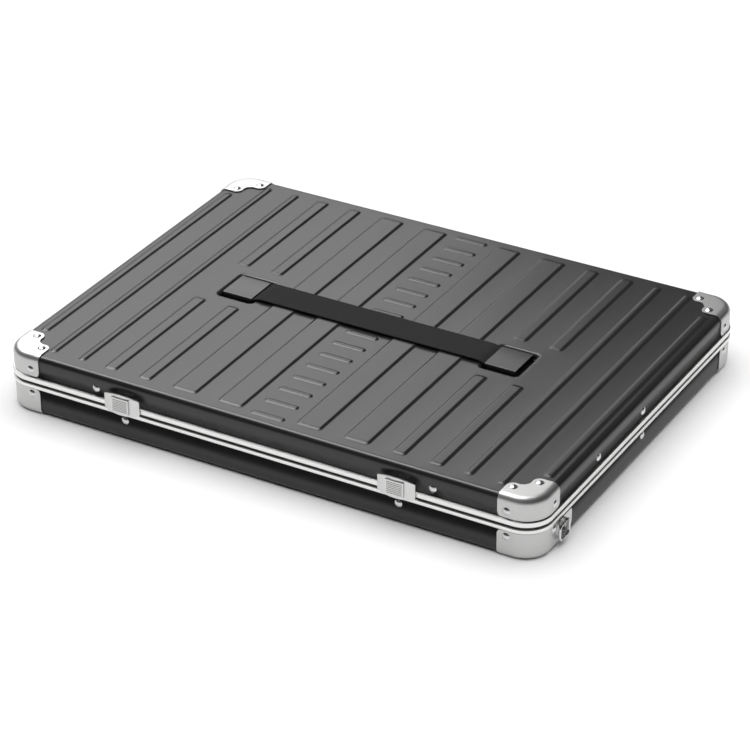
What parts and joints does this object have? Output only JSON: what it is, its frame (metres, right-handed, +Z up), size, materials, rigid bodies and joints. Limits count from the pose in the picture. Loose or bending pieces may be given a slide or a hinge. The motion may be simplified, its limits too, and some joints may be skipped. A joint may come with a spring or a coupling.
{
  "type": "laptop hard case",
  "caption": "Flat hard case for a laptop: ribbed aluminium base and hinged lid in a frame, steel corner caps, flip latches, webbing handle and side rings.",
  "frame": {"origin": "on the resting plane, under the middle of the case", "axes": "+X to the right seen from the latches, +Y from the latches to the hinges, +Z up"},
  "size_m": [0.4068, 0.3091, 0.0463],
  "materials": {
    "anodised_sheet": "satin dark anodised",
    "frame_extrusion": "fine satin, clear anodised",
    "cap_steel": "satin nickel",
    "dark_plate": "satin dark grey",
    "rivet_steel": "polished",
    "latch_steel": "satin nickel",
    "fitting_steel": "zinc plated",
    "seal_rubber": "matt black",
    "liner_cloth": "short pile cloth on foam",
    "webbing": "black woven webbing"
  },
  "bodies": {
    "base": {"base_cap_back_left": "cap_steel", "base_cap_back_right": "cap_steel", "base_cap_front_left": "cap_steel", "base_cap_front_right": "cap_steel", "base_cap_rivets": "rivet_steel", "base_corner_rivets": "rivet_steel", "base_frame": "frame_extrusion", "base_liner": "liner_cloth", "base_shell": "anodised_sheet", "base_wall_rivets": "rivet_steel", "frame_seal": "seal_rubber", "hinge_base_leaf_left": "fitting_steel", "hinge_base_leaf_right": "fitting_steel", "hinge_base_rivets": "rivet_steel", "hinge_pin_left": "fitting_steel", "hinge_pin_right": "fitting_steel", "laptop_strap": "webbing", "latch_keeper_left": "fitting_steel", "latch_keeper_right": "fitting_steel", "ring_bracket_left": "fitting_steel", "ring_bracket_right": "fitting_steel", "ring_bracket_rivets": "rivet_steel"},
    "lid": {"handle_backing_left": "fitting_steel", "handle_backing_right": "fitting_steel", "handle_plate_left": "dark_plate", "handle_plate_right": "dark_plate", "handle_strap": "webbing", "handle_studs": "rivet_steel", "hinge_lid_leaf_left": "fitting_steel", "hinge_lid_leaf_right": "fitting_steel", "hinge_lid_rivets": "rivet_steel", "latch_bracket_left": "fitting_steel", "latch_bracket_right": "fitting_steel", "latch_pin_left": "fitting_steel", "latch_pin_right": "fitting_steel", "latch_rivets": "rivet_steel", "latch_spring_left": "fitting_steel", "latch_spring_right": "fitting_steel", "lid_cap_back_left": "cap_steel", "lid_cap_back_right": "cap_steel", "lid_cap_front_left": "cap_steel", "lid_cap_front_right": "cap_steel", "lid_cap_rivets": "rivet_steel", "lid_frame": "frame_extrusion", "lid_liner": "liner_cloth", "lid_shell": "anodised_sheet", "lid_wall_rivets": "rivet_steel"},
    "latch_left": {"latch_lever_left": "latch_steel"},
    "latch_right": {"latch_lever_right": "latch_steel"},
    "ring_left": {"side_ring_left": "fitting_steel"},
    "ring_right": {"side_ring_right": "fitting_steel"}
  },
  "joints": [
    {"name": "lid_hinge", "type": "hinge", "parent": "base", "child": "lid", "pos_m": [0, 0.1521, 0.0239], "axis": [-1, 0, 0], "range_deg": [0, 100]},
    {"name": "latch_left_flip", "type": "hinge", "parent": "lid", "child": "latch_left", "pos_m": [-0.1035, -0.1507, 0.0332], "axis": [-1, 0, 0], "range_deg": [0, 55]},
    {"name": "latch_right_flip", "type": "hinge", "parent": "lid", "child": "latch_right", "pos_m": [0.101, -0.1507, 0.0332], "axis": [-1, 0, 0], "range_deg": [0, 55]},
    {"name": "ring_left_swing", "type": "hinge", "parent": "base", "child": "ring_left", "pos_m": [-0.2016, -0.11775, 0.0163], "axis": [0, 1, 0], "range_deg": [0, 165]},
    {"name": "ring_right_swing", "type": "hinge", "parent": "base", "child": "ring_right", "pos_m": [0.2016, -0.11775, 0.0163], "axis": [0, -1, 0], "range_deg": [0, 165]}
  ]
}
